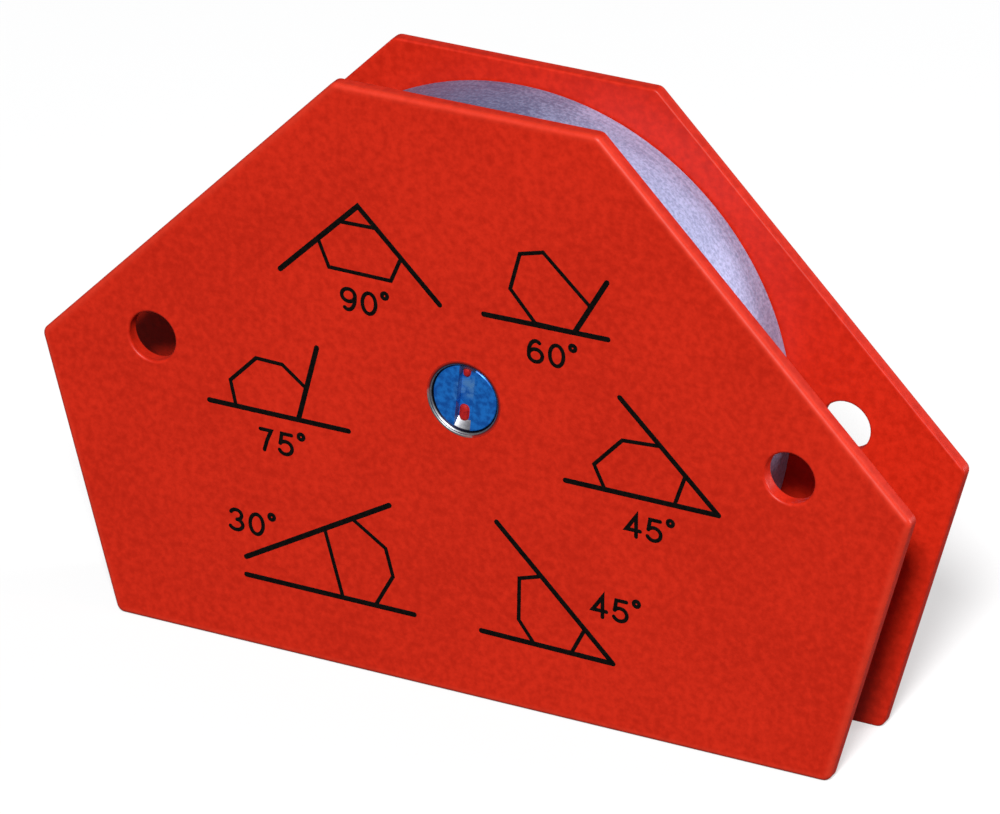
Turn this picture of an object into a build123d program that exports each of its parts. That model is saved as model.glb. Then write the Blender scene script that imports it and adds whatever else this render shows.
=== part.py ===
"""Welding magnet holder: two six-sided steel plates clamped on a ring magnet.

The origin is the middle of the bottom. +X runs along the base edge, the face with the screw
head looks towards -Y, and +Z is up. Every size is in millimetres and every angle in degrees.
"""

import os
from math import cos, radians, sin, tan

from build123d import *

# Plates: a symmetric hexagon whose edge pairs meet at 30, 45, 60, 75 and 90 degrees
BASE_LENGTH = 108.0
SIDE_LENGTH = 42.0
SIDE_ANGLE = 75.0
SLOPE_ANGLE = 45.0
HEIGHT = 86.0
PLATE_THICKNESS = 2.3
PLATE_GAP = 15.0
CORNER_RADIUS = 1.3
OUTER_EDGE_RADIUS = 0.7
INNER_EDGE_RADIUS = 0.35

# Side holes through both plates
HOLE_HEIGHT = 43.3
HOLE_OFFSET = 47.5
HOLE_RADIUS = 3.6
HOLE_EDGE_RADIUS = 0.4

# Ring magnet and the metal ring that guards its rim
RING_HEIGHT = 43.0
GUARD_RADIUS = 40.0
GUARD_CHAMFER = 0.3
MAGNET_RADIUS = 36.0
MAGNET_BORE_RADIUS = 16.0
MAGNET_CHAMFER = 0.6
RING_CLEARANCE = 0.2

# Centre screw's height, and the sleeve and spacer tube round it
SCREW_HEIGHT = 44.3
SLEEVE_RADIUS = 14.6
SLEEVE_END_CLEARANCE = 0.1
SLEEVE_FIT = 0.05
TUBE_RADIUS = 6.0
TUBE_BORE_RADIUS = 3.7

# Cup washers in the countersunk centre holes
CUP_RADIUS = 5.5
CUP_WALL = 0.35
CUP_DEPTH = 1.5
SEAT_DEPTH = 1.75

# Screw and sleeve nut, M5, with countersunk slotted heads
HEAD_RADIUS = 4.7
HEAD_SINK = 0.3
HEAD_CHAMFER = 0.1
SCREW_RADIUS = 2.48
SCREW_LENGTH = 14.2
SCREW_TIP_CHAMFER = 0.6
NUT_THREAD_RADIUS = 2.5
NUT_BARREL_RADIUS = 3.5
NUT_LENGTH = 12.6
NUT_BORE_END = 4.0
SLOT_WIDTH = 2.4
SLOT_DEPTH = 1.2
SCREW_SLOT_ANGLE = 6.0
NUT_SLOT_ANGLE = -38.0

# Worked out from the sizes above
HALF_GAP = PLATE_GAP / 2
HALF_DEPTH = HALF_GAP + PLATE_THICKNESS
HEAD_LAND = CUP_RADIUS - CUP_WALL - HEAD_RADIUS


def plate_outline():
    """The six corners of a plate, in order from the left end of the base edge."""
    half_base = BASE_LENGTH / 2
    shoulder_x = half_base + SIDE_LENGTH * cos(radians(SIDE_ANGLE))
    shoulder_z = SIDE_LENGTH * sin(radians(SIDE_ANGLE))
    half_top = shoulder_x - (HEIGHT - shoulder_z) / tan(radians(SLOPE_ANGLE))
    right = [(half_base, 0), (shoulder_x, shoulder_z), (half_top, HEIGHT)]
    left = [(-x, z) for x, z in reversed(right)]
    return right + left


def turned(profile, height):
    """A turned solid on a Y axis at this height, from (radius, y) pairs."""
    face = make_face(Polyline(*profile, close=True))
    return Pos(0, 0, height) * revolve(face, axis=Axis.Y)


def from_front(profile):
    """Turn (radius, depth below the front face) pairs into (radius, y) pairs."""
    return [(radius, depth - HALF_DEPTH) for radius, depth in profile]


def side_holes():
    """The two round holes near the pointed ends, as cutting cylinders."""
    bore = Rot(90, 0, 0) * Cylinder(HOLE_RADIUS, 3 * HALF_DEPTH)
    return [Pos(side * HOLE_OFFSET, 0, HOLE_HEIGHT) * bore for side in (-1, 1)]


def centre_seat():
    """The countersunk centre hole of the front plate, as a cutting solid."""
    seat_bottom = CUP_RADIUS - SEAT_DEPTH
    through = PLATE_THICKNESS + 1
    profile = [(0, 0), (CUP_RADIUS, 0), (seat_bottom, SEAT_DEPTH), (seat_bottom, through), (0, through)]
    return turned(from_front(profile), SCREW_HEIGHT)


def front_plate():
    """A flat six-sided plate with rounded edges, two side holes and the centre seat."""
    inner_plane = Plane.XZ.offset(HALF_GAP)
    sketch = inner_plane * make_face(Polyline(*plate_outline(), close=True))
    plate = extrude(sketch, amount=PLATE_THICKNESS)
    plate = fillet(plate.edges().filter_by(Axis.Y), CORNER_RADIUS)
    plate = fillet(plate.faces().sort_by(Axis.Y)[0].outer_wire().edges(), OUTER_EDGE_RADIUS)
    plate = fillet(plate.faces().sort_by(Axis.Y)[-1].outer_wire().edges(), INNER_EDGE_RADIUS)
    for hole in side_holes():
        plate -= hole
    plate = fillet(plate.edges().filter_by(GeomType.CIRCLE).filter_by(is_hole_rim), HOLE_EDGE_RADIUS)
    return plate - centre_seat()


def is_hole_rim(edge):
    """True for the full circles of the side holes."""
    return edge.is_closed and abs(edge.radius - HOLE_RADIUS) < 0.01


def ring(outer_radius, inner_radius, half_width, chamfer_size, height):
    """A flat ring between the plates with chamfered outer edges."""
    profile = [
        (inner_radius, -half_width),
        (outer_radius - chamfer_size, -half_width),
        (outer_radius, chamfer_size - half_width),
        (outer_radius, half_width - chamfer_size),
        (outer_radius - chamfer_size, half_width),
        (inner_radius, half_width),
    ]
    return turned(profile, height)


def guard_ring():
    """The metal ring round the magnet, whose rim shows between the plates."""
    bore = MAGNET_RADIUS + RING_CLEARANCE
    return ring(GUARD_RADIUS, bore, HALF_GAP, GUARD_CHAMFER, RING_HEIGHT)


def ring_magnet():
    """The ferrite ring that both plates stick to."""
    return ring(MAGNET_RADIUS, MAGNET_BORE_RADIUS, HALF_GAP, MAGNET_CHAMFER, RING_HEIGHT)


def centring_sleeve():
    """The bush on the spacer tube that the magnet's bore hangs on."""
    bore = TUBE_RADIUS + SLEEVE_FIT
    half_width = HALF_GAP - SLEEVE_END_CLEARANCE
    return ring(SLEEVE_RADIUS, bore, half_width, MAGNET_CHAMFER, SCREW_HEIGHT)


def spacer_tube():
    """The tube that takes the clamping load of the screw between the plates."""
    return ring(TUBE_RADIUS, TUBE_BORE_RADIUS, HALF_GAP, GUARD_CHAMFER, SCREW_HEIGHT)


def front_cup():
    """The thin dished washer that lines the countersink of the front plate."""
    inner = CUP_RADIUS - CUP_WALL
    profile = [(CUP_RADIUS, 0), (inner, 0), (inner - CUP_DEPTH, CUP_DEPTH), (CUP_RADIUS - CUP_DEPTH, CUP_DEPTH)]
    return turned(from_front(profile), SCREW_HEIGHT)


def head_profile(neck_radius):
    """Half of a countersunk head: face, chamfer, land and cone down to the neck."""
    cone_end = HEAD_LAND + HEAD_RADIUS - neck_radius
    return [
        (0, HEAD_SINK),
        (HEAD_RADIUS - HEAD_CHAMFER, HEAD_SINK),
        (HEAD_RADIUS, HEAD_SINK + HEAD_CHAMFER),
        (HEAD_RADIUS, HEAD_LAND),
        (neck_radius, cone_end),
    ]


def cut_slot(fastener, angle):
    """Cut a straight screwdriver slot across the head; the angle leans its top towards +X."""
    bottom = HEAD_SINK + SLOT_DEPTH
    cutter = Box(SLOT_WIDTH, 2 * bottom, 3 * HEAD_RADIUS)
    return fastener - Pos(0, -HALF_DEPTH, SCREW_HEIGHT) * Rot(0, angle, 0) * cutter


def centre_screw():
    """The slotted countersunk screw, head to the front."""
    tip = HEAD_SINK + SCREW_LENGTH
    shank = [
        (SCREW_RADIUS, tip - SCREW_TIP_CHAMFER),
        (SCREW_RADIUS - SCREW_TIP_CHAMFER, tip),
        (0, tip),
    ]
    body = turned(from_front(head_profile(SCREW_RADIUS) + shank), SCREW_HEIGHT)
    return cut_slot(body, SCREW_SLOT_ANGLE)


def sleeve_nut():
    """The slotted sleeve nut at the back: a barrel with a blind threaded bore."""
    barrel_end = HEAD_SINK + NUT_LENGTH
    barrel = [
        (NUT_BARREL_RADIUS, barrel_end),
        (NUT_THREAD_RADIUS, barrel_end),
        (NUT_THREAD_RADIUS, NUT_BORE_END),
        (0, NUT_BORE_END),
    ]
    body = turned(from_front(head_profile(NUT_BARREL_RADIUS) + barrel), SCREW_HEIGHT)
    return mirror(cut_slot(body, NUT_SLOT_ANGLE), about=Plane.XZ)


def build_parts():
    """Every separate piece of the holder, by name."""
    plate = front_plate()
    cup = front_cup()
    return {
        "front_plate": plate,
        "rear_plate": mirror(plate, about=Plane.XZ),
        "guard_ring": guard_ring(),
        "ring_magnet": ring_magnet(),
        "centring_sleeve": centring_sleeve(),
        "spacer_tube": spacer_tube(),
        "front_cup": cup,
        "rear_cup": mirror(cup, about=Plane.XZ),
        "centre_screw": centre_screw(),
        "sleeve_nut": sleeve_nut(),
    }


os.makedirs("parts", exist_ok=True)
for name, solid in build_parts().items():
    export_step(solid, f"parts/{name}.step")
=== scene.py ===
"""The looks of a six-sided welding magnet holder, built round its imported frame.

Lengths in the classes are in millimetres, and MM turns them into Blender's metres. The holder
stands on its base edges: X runs along the base, -Y is out of the printed front plate, +Z is up.
"""

import logging
import math
from dataclasses import dataclass
from enum import Enum
from typing import Any

import bpy
import numpy as np
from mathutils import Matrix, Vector


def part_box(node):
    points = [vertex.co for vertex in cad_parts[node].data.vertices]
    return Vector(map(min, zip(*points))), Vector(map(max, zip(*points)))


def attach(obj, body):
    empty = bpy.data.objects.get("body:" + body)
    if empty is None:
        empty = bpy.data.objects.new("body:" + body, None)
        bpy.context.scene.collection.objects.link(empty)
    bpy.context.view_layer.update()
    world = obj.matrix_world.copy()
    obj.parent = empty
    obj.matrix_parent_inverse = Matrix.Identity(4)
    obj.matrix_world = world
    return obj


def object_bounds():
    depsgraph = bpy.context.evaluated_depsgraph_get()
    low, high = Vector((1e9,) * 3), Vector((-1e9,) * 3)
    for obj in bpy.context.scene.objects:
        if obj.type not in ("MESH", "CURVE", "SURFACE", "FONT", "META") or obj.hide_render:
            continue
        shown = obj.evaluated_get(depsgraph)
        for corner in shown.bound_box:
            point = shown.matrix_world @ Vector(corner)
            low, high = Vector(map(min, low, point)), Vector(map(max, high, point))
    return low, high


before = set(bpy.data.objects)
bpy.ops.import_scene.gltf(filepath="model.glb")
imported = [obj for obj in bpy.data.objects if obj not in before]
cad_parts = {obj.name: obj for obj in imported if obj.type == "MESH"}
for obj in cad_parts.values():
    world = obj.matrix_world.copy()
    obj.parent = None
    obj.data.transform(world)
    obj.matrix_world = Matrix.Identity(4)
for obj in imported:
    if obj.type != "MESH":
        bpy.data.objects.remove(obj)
CAD_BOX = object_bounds()

MM = 0.001
BODY = "root"
log = logging.getLogger("magnet_holder")

Colour = tuple[float, float, float, float]
Pair = tuple[float, float]


def rgb(red: float, green: float, blue: float) -> Colour:
    """An opaque linear colour."""
    return (red, green, blue, 1.0)


# ---------------------------------------------------------------- shader expressions


class Signal:
    """A number that varies over a surface: a node's output with Python's arithmetic."""

    def __init__(self, graph: "Graph", socket: bpy.types.NodeSocket) -> None:
        """Wrap one output socket of the graph."""
        self.graph = graph
        self.socket = socket

    def calc(self, operation: str, *terms: Any) -> "Signal":
        """The result of one Math node on these terms."""
        return self.graph.node("ShaderNodeMath", {"operation": operation}, dict(enumerate(terms)))

    def __add__(self, other: Any) -> "Signal":
        """This plus other."""
        return self.calc("ADD", self, other)

    __radd__ = __add__

    def __sub__(self, other: Any) -> "Signal":
        """This minus other."""
        return self.calc("SUBTRACT", self, other)

    def __rsub__(self, other: Any) -> "Signal":
        """Other minus this."""
        return self.calc("SUBTRACT", other, self)

    def __mul__(self, other: Any) -> "Signal":
        """This times other."""
        return self.calc("MULTIPLY", self, other)

    __rmul__ = __mul__

    def __pow__(self, other: Any) -> "Signal":
        """This to the power of other."""
        return self.calc("POWER", self, other)

    def __abs__(self) -> "Signal":
        """This without its sign."""
        return self.calc("ABSOLUTE", self)

    def least(self, other: Any) -> "Signal":
        """The smaller of this and other."""
        return self.calc("MINIMUM", self, other)

    def most(self, other: Any) -> "Signal":
        """The larger of this and other."""
        return self.calc("MAXIMUM", self, other)

    def sine(self) -> "Signal":
        """The sine of this, in radians."""
        return self.calc("SINE", self)

    def step(self, low: float, high: float) -> "Signal":
        """A smooth step: 0 below low and 1 above high, or the other way round if low is larger."""
        settings = {"interpolation_type": "SMOOTHSTEP"}
        inputs = {0: self, 1: low, 2: high, 3: 0.0, 4: 1.0}
        return self.graph.node("ShaderNodeMapRange", settings, inputs)


class Graph:
    """The node tree of one material, with its principled shader."""

    def __init__(self, name: str, constants: dict[str, Any]) -> None:
        """Make a material with a principled shader.

        Args:
            name: the material's name.
            constants: values of the shader's sockets that are the same all over.
        """
        self.material = bpy.data.materials.new(name)
        self.material.use_nodes = True
        self.tree = self.material.node_tree
        self.shader = self.tree.nodes["Principled BSDF"]
        for socket, value in constants.items():
            self.shader.inputs[socket].default_value = value

    def node(
        self, kind: str, settings: dict[str, Any], inputs: dict[Any, Any], output: Any = 0
    ) -> Signal:
        """Add a node.

        Args:
            kind: the node's type.
            settings: its properties, set first.
            inputs: values or signals by socket name or number.
            output: the output socket's name or number.

        Returns:
            The chosen output.
        """
        node = self.tree.nodes.new(kind)
        for key, value in settings.items():
            setattr(node, key, value)
        for key, value in inputs.items():
            if isinstance(value, Signal):
                self.tree.links.new(value.socket, node.inputs[key])
            else:
                node.inputs[key].default_value = value
        return Signal(self, node.outputs[output])

    def place(self) -> Signal:
        """The point's place in the frame, in millimetres."""
        point = self.node("ShaderNodeTexCoord", {}, {}, "Object")
        inputs = {0: point, "Scale": 1 / MM}
        return self.node("ShaderNodeVectorMath", {"operation": "SCALE"}, inputs)

    def axes(self, point: Signal) -> tuple[Signal, Signal, Signal]:
        """The X, Y and Z of a point."""
        split = self.node("ShaderNodeSeparateXYZ", {}, {0: point}).socket.node
        return tuple(Signal(self, output) for output in split.outputs)

    def noise(
        self, point: Signal, grain: float, detail: float = 2.0, roughness: float = 0.5
    ) -> Signal:
        """Cloudy noise from 0 to 1.

        Args:
            point: where it is read, in millimetres.
            grain: about how wide its blotches are, in millimetres.
            detail: how many finer layers are added.
            roughness: how strong each finer layer is, beside the one before.

        Returns:
            The noise.
        """
        inputs = {"Vector": point, "Scale": 1 / grain, "Detail": detail, "Roughness": roughness}
        return self.node("ShaderNodeTexNoise", {}, inputs)

    def mix(self, mask: Any, first: Any, second: Any) -> Signal:
        """The first colour where mask is 0 and the second where it is 1."""
        return self.node("ShaderNodeMix", {"data_type": "RGBA"}, {0: mask, 6: first, 7: second}, 2)

    def bump(self, height: Signal, depth: float) -> Signal:
        """A normal from a height of 0 to 1 that stands for depth millimetres."""
        inputs = {"Height": height, "Distance": depth * MM, "Strength": 1.0}
        return self.node("ShaderNodeBump", {}, inputs)

    def feed(self, **signals: Signal) -> bpy.types.Material:
        """Link signals to the shader.

        Args:
            signals: a signal for each socket, whose name has _ for spaces.

        Returns:
            The finished material.
        """
        for name, signal in signals.items():
            self.tree.links.new(signal.socket, self.shader.inputs[name.replace("_", " ")])
        return self.material


# ---------------------------------------------------------------- the holder's own sizes


@dataclass(frozen=True)
class PlateShape:
    """The six-sided outline of a plate, standing on its base edge.

    Attributes:
        base: the length of the base edge.
        side: the length of a side edge.
        side_angle: degrees from the base to a side edge, outside the plate.
        slope_angle: degrees from level to a sloping edge.
        height: the height of the top edge.
    """

    base: float = 108.0
    side: float = 42.0
    side_angle: float = 75.0
    slope_angle: float = 45.0
    height: float = 86.0

    @property
    def shoulder(self) -> Pair:
        """The right-hand pointed corner, where side and slope meet."""
        lean = math.radians(self.side_angle)
        return self.base / 2 + self.side * math.cos(lean), self.side * math.sin(lean)

    def depth_inside(self, x: Signal, z: Signal) -> Signal:
        """How far a point of the plate is from its nearest edge.

        The smallest of the distances to the base, side, slope and top lines, on the right-hand
        half; the left half is the same by symmetry.

        Args:
            x: the point's X.
            z: the point's Z.

        Returns:
            The distance in millimetres, below 0 outside the plate.
        """
        across = abs(x)
        corner_x, corner_z = self.shoulder
        nearest = z.least(self.height - z)
        for angle in (-(90 - self.side_angle), self.slope_angle):
            out_x, out_z = math.cos(math.radians(angle)), math.sin(math.radians(angle))
            reach = corner_x * out_x + corner_z * out_z
            nearest = nearest.least(reach - across * out_x - z * out_z)
        return nearest


# ---------------------------------------------------------------- finishes


@dataclass(frozen=True)
class RedEnamel:
    """Stoved red enamel with a fine orange peel, thinner and lighter on the outer edges.

    Attributes:
        shape: the plate's outline, for the distance to its edges.
        outer_face: the Y of a plate's outer face, without its sign.
        body: the deeper red.
        pale: the lighter red of the speckle.
        thin: the colour where the coat is thin.
        primer: the colour of a chip.
        speckle_grain: the width of the fine speckle in the red.
        cloud_grain: the width of the broad clouds in the red.
        peel_grain: the width of the orange peel's waves.
        peel_depth: the depth of the peel and the speckle together.
        face_band: how far below the outer face the outer edge starts and is full.
        rim_band: how far inside the outline the thin rim starts and is full.
        rim_grain: the width of the rim's uneven patches.
        chip_grain: the width of the chips on the rim.
        chip_band: how far inside the outline chips start and are as many as they get.
    """

    shape: PlateShape
    outer_face: float
    body: Colour = rgb(0.455, 0.0125, 0.0030)
    pale: Colour = rgb(0.62, 0.0210, 0.0060)
    thin: Colour = rgb(0.68, 0.045, 0.020)
    primer: Colour = rgb(0.33, 0.060, 0.045)
    speckle_grain: float = 1.1
    cloud_grain: float = 14.0
    peel_grain: float = 1.6
    peel_depth: float = 0.03
    face_band: Pair = (1.4, 0.2)
    rim_band: Pair = (1.3, 0.15)
    rim_grain: float = 2.5
    chip_grain: float = 1.3
    chip_band: Pair = (0.9, 0.3)

    def material(self) -> bpy.types.Material:
        """The enamel of both plates.

        The red goes from body to pale with three parts of speckle and one of cloud. On the
        outer edge it turns towards the thin colour, unevenly, and the highest spots of another
        noise are chips down to the primer, which is rougher and a little lower.

        Returns:
            The material.
        """
        graph = Graph("red_enamel", {"IOR": 1.5, "Specular IOR Level": 0.25})
        point = graph.place()
        x, y, z = graph.axes(point)
        speckle = graph.noise(point, self.speckle_grain, 3.0, 0.6)
        cloud = graph.noise(point, self.cloud_grain, 2.0)
        peel = graph.noise(point, self.peel_grain, 1.0)
        tone = (speckle * 0.75 + cloud * 0.25).step(0.30, 0.72)
        colour = graph.mix(tone, self.body, self.pale)
        inside = self.shape.depth_inside(x, z)
        outer = abs(y).step(*(self.outer_face - below for below in self.face_band))
        rim = inside.step(*self.rim_band) * outer
        uneven = 0.35 + 0.4 * graph.noise(point, self.rim_grain)
        colour = graph.mix(rim * uneven, colour, self.thin)
        spots = graph.noise(point, self.chip_grain, 3.0, 0.7).step(0.70, 0.76)
        chips = spots * inside.step(*self.chip_band) * outer
        return graph.feed(
            Base_Color=graph.mix(chips, colour, self.primer),
            Roughness=0.38 + speckle * 0.10 + chips * 0.2,
            Normal=graph.bump(peel * 0.7 + speckle * 0.3 - chips * 0.8, self.peel_depth),
        )


@dataclass(frozen=True)
class TurnedMetal:
    """Dull light metal with fine turning marks that run round the ring's rim.

    Attributes:
        light: the colour of the bright grain.
        dark: the colour of the dark grain.
        painted_shade: the colour of the painted shade.
        groove: the width of a turning mark.
        groove_depth: the depth of the marks and the grain together.
        grain: the width of the grain.
        patch: the width of the cloudy patches.
        shade_middle: the X of the painted shade's middle.
        shade_reach: the distances in X from its middle where it starts and is full.
        shade_ragged: how far its edge wanders with the patches and with the grain.
        crown: the heights between which the painted shade sets in.
    """

    light: Colour = rgb(0.455, 0.48, 0.735)
    dark: Colour = rgb(0.275, 0.30, 0.495)
    painted_shade: Colour = rgb(0.115, 0.115, 0.225)
    groove: float = 0.5
    groove_depth: float = 0.06
    grain: float = 0.5
    patch: float = 6.0
    shade_middle: float = -8.0
    shade_reach: Pair = (22.0, 9.0)
    shade_ragged: Pair = (8.0, 5.0)
    crown: Pair = (45.0, 60.0)

    def material(self) -> bpy.types.Material:
        """The guard ring's finish.

        The marks are noise squeezed along Y, so on the rim they are long round the axis and
        narrow across it. Painted shade, a dark colour, lies on the crown of the rim, left of the
        middle: its strength falls smoothly with the distance in X, which cloudy noise makes
        uneven, and the bright grain shows through it a little.

        Returns:
            The material.
        """
        graph = Graph("turned_metal", {"Specular IOR Level": 0.5})
        point = graph.place()
        inputs = {"Vector": point, "Scale": Vector((0.1, 1.0, 0.1))}
        squeezed = graph.node("ShaderNodeMapping", {}, inputs)
        marks = graph.noise(squeezed, self.groove, 2.0, 0.6)
        grain = graph.noise(point, self.grain, 3.0, 0.65)
        patch = graph.noise(point, self.patch, 2.0)
        tone = (grain * 0.65 + marks * 0.2 + patch * 0.15).step(0.38, 0.62)
        x, _, z = graph.axes(point)
        by_patch, by_grain = self.shade_ragged
        spread = abs(x - self.shade_middle) + (patch - 0.5) * by_patch + (grain - 0.5) * by_grain
        # painted shade on the crown of the rim, left of the middle
        painted_shade = spread.step(*self.shade_reach) * z.step(*self.crown) * (1.0 - tone * 0.3)
        metal = graph.mix(tone, self.dark, self.light)
        return graph.feed(
            Base_Color=graph.mix(painted_shade * 0.92, metal, self.painted_shade),
            Metallic=0.16 + patch * 0.08,
            Roughness=0.48 + patch * 0.1,
            Normal=graph.bump(marks * 0.85 + grain * 0.15, self.groove_depth),
        )


@dataclass(frozen=True)
class BlueZinc:
    """Blue passivated zinc with faint turning marks round the screw's axis.

    Attributes:
        axis_height: the height of the screw's axis.
        lean: degrees that the screw's slot leans from upright.
        deep: the plating's deeper blue.
        light: the lighter blue of its blotches.
        worn: the colour where it is rubbed thin.
        turning: radians of the turning marks' wave per millimetre of radius.
        blotch: the width of the blotches in the plating.
        relief: the depth of the marks and the blotches together.
        worn_shift: how far left of the slot's middle the worn patch lies.
        worn_aside: the distances across the slot where the wear starts and is full.
        worn_bottom: the heights above the axis where it starts and is full, at its lower end.
        worn_top: the same at its upper end.
    """

    axis_height: float
    lean: float = 6.0
    deep: Colour = rgb(0.005, 0.085, 0.38)
    light: Colour = rgb(0.012, 0.18, 0.64)
    worn: Colour = rgb(0.10, 0.25, 0.50)
    turning: float = 22.0
    blotch: float = 0.8
    relief: float = 0.015
    worn_shift: float = 0.2
    worn_aside: Pair = (1.9, 0.6)
    worn_bottom: Pair = (-0.9, 0.3)
    worn_top: Pair = (3.2, 1.8)

    def material(self) -> bpy.types.Material:
        """The finish of the screw and the sleeve nut.

        The plating is worn pale where drivers turn: along and beside the slot, which leans from
        upright, between just below the middle and most of the way up. The turning marks are
        the sine of the radius.

        Returns:
            The material.
        """
        graph = Graph("blue_zinc", {"Specular IOR Level": 0.5})
        point = graph.place()
        x, _, z = graph.axes(point)
        rise = z - self.axis_height
        radius = (x**2 + rise**2) ** 0.5
        turning = (radius * self.turning).sine() * 0.5 + 0.5
        aside = abs(x - rise * math.tan(math.radians(self.lean)) + self.worn_shift)
        blotch = graph.noise(point, self.blotch, 3.0)
        plating = graph.mix(blotch.step(0.32, 0.68), self.deep, self.light)
        across = aside.step(*self.worn_aside)
        pale_patch = across * rise.step(*self.worn_bottom) * rise.step(*self.worn_top)
        return graph.feed(
            Base_Color=graph.mix(pale_patch * blotch.step(0.30, 0.70) * 0.8, plating, self.worn),
            Metallic=0.30 + blotch * 0.1,
            Roughness=0.24 + blotch * 0.16,
            Normal=graph.bump(turning * 0.3 + blotch * 0.7, self.relief),
        )


@dataclass(frozen=True)
class CupSteel:
    """Pressed steel with a rounded lip and a coat of red overspray, both with painted shade.

    Attributes:
        axis_height: the height of the cup's axis.
        lip: the radii where the lip's rounding starts and ends.
        shade_band: the radii between which the cup fades from clean steel to painted shade.
        head: the radii between which the painted shade fades out again, under the head.
        spray_and_shade: the radii where the overspray and its painted shade set in on the lip.
        bright: the colour of the steel's bright grain.
        dull: the colour of its dull grain.
        shade: the colour of the painted shade.
        shaded_spray: the overspray's colour where it starts, near black with painted shade.
        full_spray: its colour on the lip's outer edge.
        bare_lit_side: the direction's X and Z, from the axis, of the lit side where the lip is
            bare.
        bare_lit_edge: the cosines from that direction where the bare stretch starts and is full.
        ragged: how far the bare stretch's ends wander with the grain, in cosines.
        grain: the width of the steel's grain.
    """

    axis_height: float
    lip: Pair = (5.05, 5.45)
    shade_band: Pair = (4.98, 4.86)
    head: Pair = (4.56, 4.68)
    bright: Colour = rgb(0.40, 0.40, 0.41)
    dull: Colour = rgb(0.30, 0.30, 0.32)
    shade: Colour = rgb(0.010, 0.010, 0.022)
    spray_and_shade: Pair = (4.95, 5.15)
    shaded_spray: Colour = rgb(0.055, 0.008, 0.008)
    full_spray: Colour = rgb(0.36, 0.012, 0.006)
    bare_lit_side: Pair = (-0.64, -0.77)
    bare_lit_edge: Pair = (0.50, 0.86)
    ragged: float = 0.3
    grain: float = 0.5

    def material(self) -> bpy.types.Material:
        """The finish of both cups.

        The lip's height rises from 0 to 1 over its width as 1 - (1 - t)^2, so the shading turns
        from the cone's slope to the plate's face without a crease. Overspray, red on the outside
        and near black on the inside, covers the lip where the cosine of the angle from the lit
        side is small; its dark part is painted shade on the sides turned away from the key lamp.

        Returns:
            The material.
        """
        graph = Graph("cup_steel", {"Specular IOR Level": 0.25})
        point = graph.place()
        x, _, z = graph.axes(point)
        rise = z - self.axis_height
        radius = (x**2 + rise**2) ** 0.5
        grain = graph.noise(point, self.grain, 3.0, 0.6)
        steel = graph.mix(grain.step(0.3, 0.7), self.dull, self.bright)
        start, end = self.lip
        rest = ((end - radius) * (1 / (end - start))).most(0.0).least(1.0)
        # painted shade: a dark band on the cone round the head, in the gap beside it
        shaded = radius.step(*self.shade_band) * radius.step(*self.head)
        # the lip stays bare steel towards the key lamp; elsewhere overspray darkens it with painted
        # shade
        towards_lit_side = (x * self.bare_lit_side[0] + rise * self.bare_lit_side[1]) * radius**-1.0
        pale_patch = (towards_lit_side + (grain - 0.5) * self.ragged).step(*self.bare_lit_edge)
        sprayed_and_shaded = radius.step(*self.spray_and_shade) * (1.0 - pale_patch)
        spray_and_shade = graph.mix(radius.step(start, end), self.shaded_spray, self.full_spray)
        return graph.feed(
            Base_Color=graph.mix(sprayed_and_shaded, graph.mix(shaded, steel, self.shade), spray_and_shade),
            Metallic=1.0 - sprayed_and_shaded,
            Roughness=0.40 + grain * 0.08,
            Normal=graph.bump(1.0 - rest**2, (end - start) / 2),
        )


@dataclass(frozen=True)
class PlainFinish:
    """A finish with a fine grain of two close colours, for moulded, turned or printed pieces.

    Attributes:
        name: the material's name.
        colour: the darker colour.
        second: the colour of the grain's high spots.
        metallic: 1 for bare metal.
        roughness: the roughness, which the grain varies by 0.05 either way.
        grain: the width of the grain.
        relief: the depth of the grain.
        specular: the strength of the gloss.
    """

    name: str
    colour: Colour
    second: Colour
    metallic: float
    roughness: float
    grain: float
    relief: float
    specular: float = 0.5

    def material(self) -> bpy.types.Material:
        """The finish, with its grain in colour, roughness and relief.

        Returns:
            The material.
        """
        graph = Graph(self.name, {"Metallic": self.metallic, "Specular IOR Level": self.specular})
        point = graph.place()
        grain = graph.noise(point, self.grain, 3.0, 0.6)
        return graph.feed(
            Base_Color=graph.mix(grain.step(0.3, 0.7), self.colour, self.second),
            Roughness=self.roughness - 0.05 + grain * 0.1,
            Normal=graph.bump(grain, self.relief),
        )


class Finish(Enum):
    """The plain finishes of the holder."""

    FERRITE = PlainFinish(
        "ferrite", rgb(0.035, 0.035, 0.04), rgb(0.07, 0.07, 0.075),
        metallic=0.2, roughness=0.6, grain=0.6, relief=0.03,
    )
    NYLON = PlainFinish(
        "sleeve_plastic", rgb(0.62, 0.60, 0.54), rgb(0.72, 0.70, 0.64),
        metallic=0.0, roughness=0.5, grain=2.0, relief=0.01,
    )
    BRASS = PlainFinish(
        "tube_brass", rgb(0.72, 0.50, 0.20), rgb(0.60, 0.40, 0.15),
        metallic=1.0, roughness=0.3, grain=0.8, relief=0.01,
    )
    INK = PlainFinish(
        "ink_black", rgb(0.002, 0.002, 0.002), rgb(0.006, 0.005, 0.004),
        metallic=0.0, roughness=0.5, grain=0.4, relief=0.006, specular=0.06,
    )
    SLOT_PAINT = PlainFinish(
        "slot_paint", rgb(0.27, 0.006, 0.008), rgb(0.42, 0.012, 0.010),
        metallic=0.0, roughness=0.6, grain=0.4, relief=0.04, specular=0.2,
    )

    def material(self) -> bpy.types.Material:
        """The finish as a new material."""
        return self.value.material()


# ---------------------------------------------------------------- ribbons of print


ARC_STEP = 12.0
Stroke = tuple[np.ndarray, bool]


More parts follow.
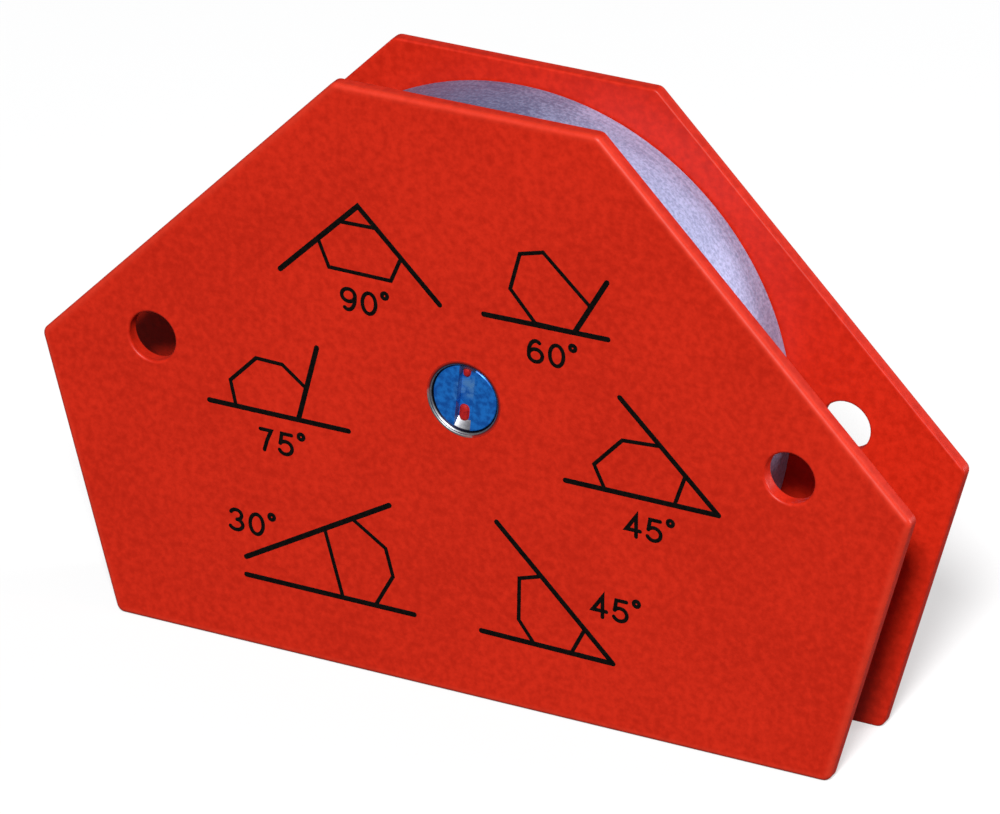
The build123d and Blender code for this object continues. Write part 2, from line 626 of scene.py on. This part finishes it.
def arc(centre: Pair, radii: Pair, start: float, end: float) -> np.ndarray:
    """Points of an elliptical arc.

    Args:
        centre: the ellipse's centre.
        radii: its half width and half height.
        start: the first angle in degrees, anticlockwise from +X.
        end: the last angle.

    Returns:
        An (n, 2) array: centre plus radii times the cosine and sine of even angles.
    """
    count = max(int(abs(end - start) / ARC_STEP), 4) + 1
    angles = np.radians(np.linspace(start, end, count))
    circle = np.stack([np.cos(angles), np.sin(angles)], axis=1)
    return np.array(centre) + np.array(radii) * circle


def line(*points: Pair) -> np.ndarray:
    """Straight runs through these points."""
    return np.array(points, float)


@dataclass(frozen=True)
class Ribbon:
    """A raised stroke of ink or paint: a shallow dome carried along a path on a face.

    Attributes:
        width: the stroke's width.
        rise: how far its crown stands above the face.
        root: how far its closed underside lies below the face.
        steps: points across the dome.
        end_angles: degrees round an open end's half circle where its extra points lie.
    """

    width: float
    rise: float
    root: float = 0.02
    steps: int = 7
    end_angles: tuple[float, ...] = (80.0, 60.0, 40.0, 20.0)

    def rounded(self, path: np.ndarray) -> tuple[np.ndarray, np.ndarray]:
        """Give an open path round ends.

        Points are added past each end, at half the width times the sine of each end angle, and
        the stroke there is as wide as the cosine, which makes a half circle.

        Args:
            path: an (n, 2) array of X and Z.

        Returns:
            The longer path, and the width at each of its points as a share of the full width.
        """
        angles = np.radians(self.end_angles)
        reach = (np.sin(angles) * self.width / 2)[:, None]
        first = path[0] - path[1]
        last = path[-1] - path[-2]
        head = path[0] + reach * first / np.linalg.norm(first)
        tail = path[-1] + reach[::-1] * last / np.linalg.norm(last)
        share = np.concatenate([np.cos(angles), np.ones(len(path)), np.cos(angles[::-1])])
        return np.vstack([head, path, tail]), share

    def grid(self, path: np.ndarray, closed: bool) -> np.ndarray:
        """The stroke's surface.

        At each path point the section stands on the mitre normal, which is the sum of the two
        edge normals over one plus the cosine of the turn, so that the stroke keeps its width.
        Across the section, with t from -1 to 1, the height is rise times (1 - t^4); a last
        point on each side closes it below the face.

        Args:
            path: an (n, 2) array of X and Z.
            closed: whether the last point joins the first.

        Returns:
            An (n, steps + 2, 3) array of X, height above the face and Z.
        """
        share = np.ones(len(path))
        if not closed:
            path, share = self.rounded(path)
        ahead = np.roll(path, -1, axis=0) - path
        back = path - np.roll(path, 1, axis=0)
        if not closed:
            ahead[-1] = back[-1]
            back[0] = ahead[0]
        ahead /= np.linalg.norm(ahead, axis=1, keepdims=True)
        back /= np.linalg.norm(back, axis=1, keepdims=True)
        turn = (ahead * back).sum(axis=1, keepdims=True)
        mean = (ahead + back) / (1 + turn)
        normal = np.stack([-mean[:, 1], mean[:, 0]], axis=1) * share[:, None]
        across = np.linspace(-1, 1, self.steps)
        dome = self.rise * (1 - across**4)
        across = np.concatenate([[-1], across, [1]])
        flat = path[:, None, :] + normal[:, None, :] * (across * self.width / 2)[None, :, None]
        height = np.full(flat.shape[:2], -self.root)
        height[:, 1:-1] = share[:, None] * dome
        return np.stack([flat[..., 0], height, flat[..., 1]], axis=2)


def grid_faces(
    rows: int, columns: int, closed_rows: bool, first: int
) -> tuple[list[list[int]], list[list[int]]]:
    """Faces of a tube-like grid whose columns always wrap.

    Args:
        rows: sections along the path.
        columns: points round a section.
        closed_rows: whether the last section joins the first.
        first: the number of the grid's first vertex.

    Returns:
        The quads, and the two end caps where the path is open.
    """
    row = np.arange(rows if closed_rows else rows - 1)[:, None]
    column = np.arange(columns)[None, :]
    next_row = (row + 1) % rows
    next_column = (column + 1) % columns
    quads = np.stack(
        [
            row * columns + column,
            row * columns + next_column,
            next_row * columns + next_column,
            next_row * columns + column,
        ],
        axis=2,
    ).reshape(-1, 4)
    caps = []
    if not closed_rows:
        section = np.arange(columns)
        caps = [(section[::-1] + first).tolist(), (section + (rows - 1) * columns + first).tolist()]
    return (quads + first).tolist(), caps


def make_piece(
    name: str, points: np.ndarray, faces: list[list[int]], material: bpy.types.Material
) -> None:
    """Put a finished mesh into the scene on the holder's body.

    Args:
        name: the piece's name.
        points: an (n, 3) array in millimetres, in the holder's frame.
        faces: lists of vertex numbers.
        material: its finish.
    """
    mesh = bpy.data.meshes.new(name)
    mesh.from_pydata((points * MM).tolist(), [], faces)
    mesh.update()
    mesh.materials.append(material)
    piece = bpy.data.objects.new(name, mesh)
    bpy.context.scene.collection.objects.link(piece)
    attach(piece, BODY)
    log.info("%s: %d faces", name, len(faces))


def lay_strokes(
    name: str,
    strokes: list[Stroke],
    ribbon: Ribbon,
    level: float,
    material: bpy.types.Material,
) -> None:
    """Make one piece of strokes that stand on a surface facing -Y.

    Args:
        name: the piece's name.
        strokes: (path, closed) pairs.
        ribbon: the strokes' section.
        level: the surface's Y.
        material: the finish.
    """
    points, faces, count = [], [], 0
    for path, closed in strokes:
        grid = ribbon.grid(path, closed)
        rows, columns = grid.shape[:2]
        quads, caps = grid_faces(rows, columns, closed, count)
        points.append(grid.reshape(-1, 3))
        faces += quads + caps
        count += rows * columns
    surface = np.vstack(points)
    surface[:, 1] = level - surface[:, 1]
    make_piece(name, surface, faces, material)


# ---------------------------------------------------------------- lettering


@dataclass(frozen=True)
class Numerals:
    """Plain stroke numerals on a unit cell, with round stretches as elliptical arcs.

    Attributes:
        height: a digit's height.
        width: a digit's width.
        pitch: the distance from one digit to the next.
        degree_offset: the degree sign's X and Z from the middle of the last digit.
        degree_radius: the degree sign's radius.
    """

    height: float = 3.0
    width: float = 2.05
    pitch: float = 3.1
    degree_offset: Pair = (2.35, 1.6)
    degree_radius: float = 0.40

    def strokes(self, digit: str) -> list[Stroke]:
        """The strokes of one digit; a 9 is a 6 turned half round.

        Args:
            digit: one of the digits that the diagrams use.

        Returns:
            Paths on a unit cell, each with whether it is closed.
        """
        loop = (arc((0.5, 0.30), (0.49, 0.30), 0, 345), True)
        stem = (arc((0.52, 0.42), (0.51, 0.58), 205, 60), False)
        drawn = {
            "0": [(arc((0.5, 0.5), (0.49, 0.5), 0, 345), True)],
            "3": [
                (arc((0.46, 0.755), (0.42, 0.245), 155, -80), False),
                (arc((0.46, 0.265), (0.50, 0.265), 80, -150), False),
            ],
            "4": [(line((0.72, 0.0), (0.72, 1.0), (0.02, 0.30), (1.0, 0.30)), False)],
            "5": [
                (line((0.92, 1.0), (0.20, 1.0), (0.09, 0.50)), False),
                (arc((0.47, 0.315), (0.50, 0.315), 143, -152), False),
            ],
            "6": [loop, stem],
            "7": [(line((0.12, 1.0), (0.92, 1.0), (0.62, 0.52), (0.40, 0.0)), False)],
        }
        if digit == "9":
            return [(1 - path, closed) for path, closed in self.strokes("6")]
        return drawn[digit]

    def label(self, text: str, centre: Pair) -> list[Stroke]:
        """The strokes of a number and its degree sign.

        Args:
            text: the number's digits.
            centre: the X and Z of the label's middle.

        Returns:
            Paths on the face, each with whether it is closed.
        """
        length = self.pitch * (len(text) - 1) + self.width + self.degree_offset[0] - self.width / 2
        left = centre[0] - length / 2
        low = centre[1] - self.height / 2
        strokes = []
        for place, digit in enumerate(text):
            corner = np.array([left + place * self.pitch, low])
            for path, closed in self.strokes(digit):
                strokes.append((corner + path * np.array([self.width, self.height]), closed))
        last = left + (len(text) - 1) * self.pitch + self.width / 2
        degree = (last + self.degree_offset[0], centre[1] + self.degree_offset[1])
        strokes.append((arc(degree, (self.degree_radius,) * 2, 0, 330), True))
        return strokes


# ---------------------------------------------------------------- angle diagrams


@dataclass(frozen=True)
class Diagram:
    """One printed diagram: the holder's small outline, the bars it sets, and their angle.

    Attributes:
        name: the diagram's name, for its pieces.
        angle: the angle's digits.
        outline: the X and Z of the outline's corners.
        bars: the X and Z of each bar's ends and bends.
        label_centre: the X and Z of the label's middle.
    """

    name: str
    angle: str
    outline: tuple[Pair, ...]
    bars: tuple[tuple[Pair, ...], ...]
    label_centre: Pair


@dataclass(frozen=True)
class FrontPrint:
    """The six diagrams printed on the front plate.

    Attributes:
        face: the Y of the plate's outer face.
        bar_stroke: the section of the bars.
        outline_stroke: the section of the small outlines.
        label_stroke: the section of the numerals.
        numerals: the shapes and spacing of the digits.
    """

    face: float
    bar_stroke: Ribbon = Ribbon(0.78, 0.034)
    outline_stroke: Ribbon = Ribbon(0.58, 0.026)
    label_stroke: Ribbon = Ribbon(0.58, 0.030)
    numerals: Numerals = Numerals()

    def diagrams(self) -> list[Diagram]:
        """The six diagrams.

        Returns:
            Every diagram, with its corners on the face.
        """
        return [
            Diagram(
                "right_angle", "90",
                (
                    (-20.1, 59.4), (-10.8, 59.3), (-9.3, 62.8),
                    (-13.05, 66.45), (-18.4, 66.35), (-21.7, 63.2),
                ),
                (((-27.5, 57.6), (-15.7, 69.1), (-3.55, 57.35)),),
                (-15.0, 55.3),
            ),
            Diagram(
                "sixty", "60",
                (
                    (18.65, 61.7), (16.4, 57.6), (10.6, 57.7),
                    (6.9, 61.9), (8.3, 67.2), (11.7, 68.1),
                ),
                (((3.0, 57.4), (21.2, 57.6)), ((16.4, 57.7), (21.0, 65.7))),
                (12.85, 53.65),
            ),
            Diagram(
                "seventy_five", "75",
                (
                    (-34.6, 35.9), (-25.0, 35.9), (-23.85, 40.8),
                    (-27.4, 43.5), (-31.4, 43.6), (-35.4, 39.5),
                ),
                (((-38.7, 35.8), (-17.4, 35.8)), ((-25.0, 35.9), (-22.1, 47.1))),
                (-27.9, 31.7),
            ),
            Diagram(
                "thirty", "30",
                (
                    (-21.2, 20.3), (-18.5, 10.6), (-13.5, 10.55),
                    (-10.8, 15.5), (-11.9, 19.5), (-16.9, 22.75),
                ),
                (((-33.4, 13.3), (-11.3, 26.1)), ((-33.4, 10.6), (-7.6, 10.5))),
                (-32.6, 18.6),
            ),
            Diagram(
                "forty_five_low", "45",
                (
                    (18.1, 14.35), (16.1, 10.35), (10.5, 10.45),
                    (8.2, 13.5), (8.3, 19.7), (11.6, 20.75),
                ),
                (((4.9, 27.3), (22.3, 10.2)), ((2.6, 10.5), (22.3, 10.2))),
                (22.45, 18.3),
            ),
            Diagram(
                "forty_five_right", "45",
                (
                    (20.9, 35.8), (31.1, 35.8), (32.65, 40.35),
                    (28.95, 43.85), (23.4, 43.5), (19.3, 39.1),
                ),
                (((23.0, 49.6), (37.5, 35.7)), ((15.1, 35.8), (37.5, 35.7))),
                (27.3, 31.35),
            ),
        ]

    def build(self) -> None:
        """Print every diagram."""
        ink = Finish.INK.material()
        for diagram in self.diagrams():
            outline = line(*diagram.outline)
            bars = [(line(*bar), False) for bar in diagram.bars]
            label = self.numerals.label(diagram.angle, diagram.label_centre)
            for part, strokes, ribbon in (
                ("outline", [(outline, True)], self.outline_stroke),
                ("bars", bars, self.bar_stroke),
                ("label", label, self.label_stroke),
            ):
                lay_strokes(f"{part}_{diagram.name}", strokes, ribbon, self.face, ink)


# ---------------------------------------------------------------- paint in the slot


@dataclass(frozen=True)
class SlotPaint:
    """Two dabs of red paint left in the screw's slot by the plate's spraying.

    Attributes:
        axis_height: the height of the screw's axis.
        head_face: the Y of the screw head's face.
        slot_depth: how far the slot's floor lies behind that face.
        lean: degrees from upright, the slot's top towards +X.
        upper: the upper dab's offset across the slot, and its start and end along it.
        lower: the same for the lower dab.
        upper_dab: the section of the upper dab.
        lower_dab: the section of the lower dab.
    """

    axis_height: float
    head_face: float
    slot_depth: float = 1.2
    lean: float = 6.0
    upper: tuple[float, float, float] = (-0.60, 3.2, 3.5)
    lower: tuple[float, float, float] = (-0.40, -3.2, -2.2)
    upper_dab: Ribbon = Ribbon(1.15, 0.35)
    lower_dab: Ribbon = Ribbon(1.50, 0.40)

    def build(self) -> None:
        """Lay both dabs on the slot's floor, each along a line beside its leaning middle."""
        paint = Finish.SLOT_PAINT.material()
        floor = self.head_face + self.slot_depth
        lean = math.radians(self.lean)
        along = np.array([math.sin(lean), math.cos(lean)])
        across = np.array([math.cos(lean), -math.sin(lean)])
        for name, (aside, start, end), dab in (
            ("slot_paint_upper", self.upper, self.upper_dab),
            ("slot_paint_lower", self.lower, self.lower_dab),
        ):
            middle = np.array([0.0, self.axis_height]) + aside * across
            path = np.stack([middle + start * along, middle + end * along])
            lay_strokes(name, [(path, False)], dab, floor, paint)


# ---------------------------------------------------------------- the CAD pieces


@dataclass(frozen=True)
class Holder:
    """The holder's CAD pieces and the finish each one takes.

    Attributes:
        outer_face: the Y of the rear plate's outer face.
        axis_height: the height of the screw's axis.
        shape: the plates' outline.
    """

    outer_face: float
    axis_height: float
    shape: PlateShape = PlateShape()

    def dress(self) -> None:
        """Give every CAD node its material."""
        enamel = RedEnamel(self.shape, self.outer_face).material()
        blue = BlueZinc(self.axis_height).material()
        cup = CupSteel(self.axis_height).material()
        finishes = {
            "front_plate": enamel,
            "rear_plate": enamel,
            "guard_ring": TurnedMetal().material(),
            "ring_magnet": Finish.FERRITE.material(),
            "centring_sleeve": Finish.NYLON.material(),
            "spacer_tube": Finish.BRASS.material(),
            "front_cup": cup,
            "rear_cup": cup,
            "centre_screw": blue,
            "sleeve_nut": blue,
        }
        for name, material in finishes.items():
            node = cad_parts[name]
            if not node.material_slots:
                node.data.materials.append(material)
            for slot in node.material_slots:
                slot.material = material
            log.info("%s dressed in %s", name, material.name)


# ---------------------------------------------------------------- studio


@dataclass(frozen=True)
class Lamp:
    """A round softbox.

    Attributes:
        name: its name.
        azimuth: degrees from the front face's outward line, towards +X.
        elevation: degrees above level.
        size: its diameter.
        power: its power in watts.
    """

    name: str
    azimuth: float
    elevation: float
    size: float
    power: float


@dataclass(frozen=True)
class Studio:
    """The floor, the lights and the camera.

    Attributes:
        view_azimuth: degrees from the front face's outward line to the camera, towards +X.
        view_elevation: degrees that the camera looks down.
        view_distance: the camera's distance from its aim.
        aim: the X and Z, on the front face, that the camera looks at.
        lens: the focal length.
        clip_end: how far the camera sees, in metres.
        key: the lamp at the front, above.
        fill: the low lamp behind the holder on its right.
        lamp_distance: how far both lamps stand from the holder's middle.
        sky: the colour of the even light.
        sky_strength: its strength.
        floor_tones: the two colours of the floor's clouds.
        floor_grain: the width of those clouds.
        floor_glow: how strongly the floor shines of itself, to stay pale.
        floor_half: half the floor's width.
    """

    view_azimuth: float = 27.2
    view_elevation: float = 25.67
    view_distance: float = 952.3
    aim: Pair = (5.4, 44.4)
    lens: float = 259.75
    clip_end: float = 20.0
    key: Lamp = Lamp("key", azimuth=21.5, elevation=40.5, size=570.0, power=123.0)
    fill: Lamp = Lamp("fill", azimuth=124.0, elevation=11.0, size=1500.0, power=54.0)
    lamp_distance: float = 3000.0
    sky: Colour = rgb(0.93, 0.96, 1.0)
    sky_strength: float = 0.11
    floor_tones: tuple[Colour, Colour] = (rgb(0.46, 0.46, 0.46), rgb(0.45, 0.45, 0.45))
    floor_grain: float = 60.0
    floor_glow: float = 0.55
    floor_half: float = 6000.0

    @staticmethod
    def direction(azimuth: float, elevation: float) -> Vector:
        """The unit vector towards a viewer or lamp at this azimuth and elevation, in degrees."""
        a, e = math.radians(azimuth), math.radians(elevation)
        return Vector((math.sin(a) * math.cos(e), -math.cos(a) * math.cos(e), math.sin(e)))

    def floor(self) -> None:
        """A wide pale floor, level with the base edges, that throws no light on the holder."""
        half = self.floor_half * MM
        level = CAD_BOX[0].z
        mesh = bpy.data.meshes.new("floor")
        corners = [(x * half, y * half, level) for x, y in ((-1, -1), (1, -1), (1, 1), (-1, 1))]
        mesh.from_pydata(corners, [], [(0, 1, 2, 3)])
        graph = Graph("pale_floor", {
            "Roughness": 0.9,
            "Specular IOR Level": 0.1,
            "Emission Color": rgb(1.0, 1.0, 1.0),
            "Emission Strength": self.floor_glow,
        })
        cloud = graph.noise(graph.place(), self.floor_grain, 3.0)
        mesh.materials.append(graph.feed(Base_Color=graph.mix(cloud, *self.floor_tones)))
        floor = bpy.data.objects.new("floor", mesh)
        floor.visible_diffuse = floor.visible_glossy = False
        bpy.context.scene.collection.objects.link(floor)

    def hang(self, lamp: Lamp) -> None:
        """Hang a lamp so that it shines at the holder's middle.

        Args:
            lamp: the softbox.
        """
        light = bpy.data.lights.new(lamp.name, "AREA")
        light.shape = "DISK"
        light.size = lamp.size * MM
        light.energy = lamp.power
        softbox = bpy.data.objects.new(lamp.name, light)
        towards = self.direction(lamp.azimuth, lamp.elevation)
        centre = (CAD_BOX[0] + CAD_BOX[1]) / 2
        softbox.location = centre + towards * self.lamp_distance * MM
        softbox.rotation_euler = towards.to_track_quat("Z", "Y").to_euler()
        bpy.context.scene.collection.objects.link(softbox)

    def world(self) -> None:
        """Even light from all round."""
        world = bpy.data.worlds.new("studio")
        world.use_nodes = True
        background = world.node_tree.nodes["Background"]
        background.inputs["Color"].default_value = self.sky
        background.inputs["Strength"].default_value = self.sky_strength
        bpy.context.scene.world = world

    def camera(self) -> None:
        """A long lens that looks down at the front plate from its right."""
        data = bpy.data.cameras.new("camera")
        data.lens = self.lens
        data.clip_end = self.clip_end
        camera = bpy.data.objects.new("camera", data)
        towards = self.direction(self.view_azimuth, self.view_elevation)
        aim = Vector((self.aim[0] * MM, CAD_BOX[0].y, self.aim[1] * MM))
        camera.location = aim + towards * self.view_distance * MM
        camera.rotation_euler = towards.to_track_quat("Z", "Y").to_euler()
        bpy.context.scene.collection.objects.link(camera)
        bpy.context.scene.camera = camera

    def build(self) -> None:
        """Set up floor, lamps, sky and camera.

        The low fill stands behind the holder on its right, so it lights the back and the side
        edges but neither the front faces nor the depth of the gap.
        """
        self.floor()
        self.hang(self.key)
        self.hang(self.fill)
        self.world()
        self.camera()
        bpy.context.scene.view_settings.view_transform = "Standard"
        log.info("studio ready")


def main() -> None:
    """Build the looks in order: the CAD pieces' finishes, the print, the paint, the studio."""
    logging.basicConfig(level=logging.INFO, format="%(name)s: %(message)s")
    screw_low, screw_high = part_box("centre_screw")
    axis_height = (screw_low.z + screw_high.z) / 2 / MM
    Holder(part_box("rear_plate")[1].y / MM, axis_height).dress()
    FrontPrint(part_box("front_plate")[0].y / MM).build()
    SlotPaint(axis_height, screw_low.y / MM).build()
    Studio().build()


if __name__ == "__main__":
    main()
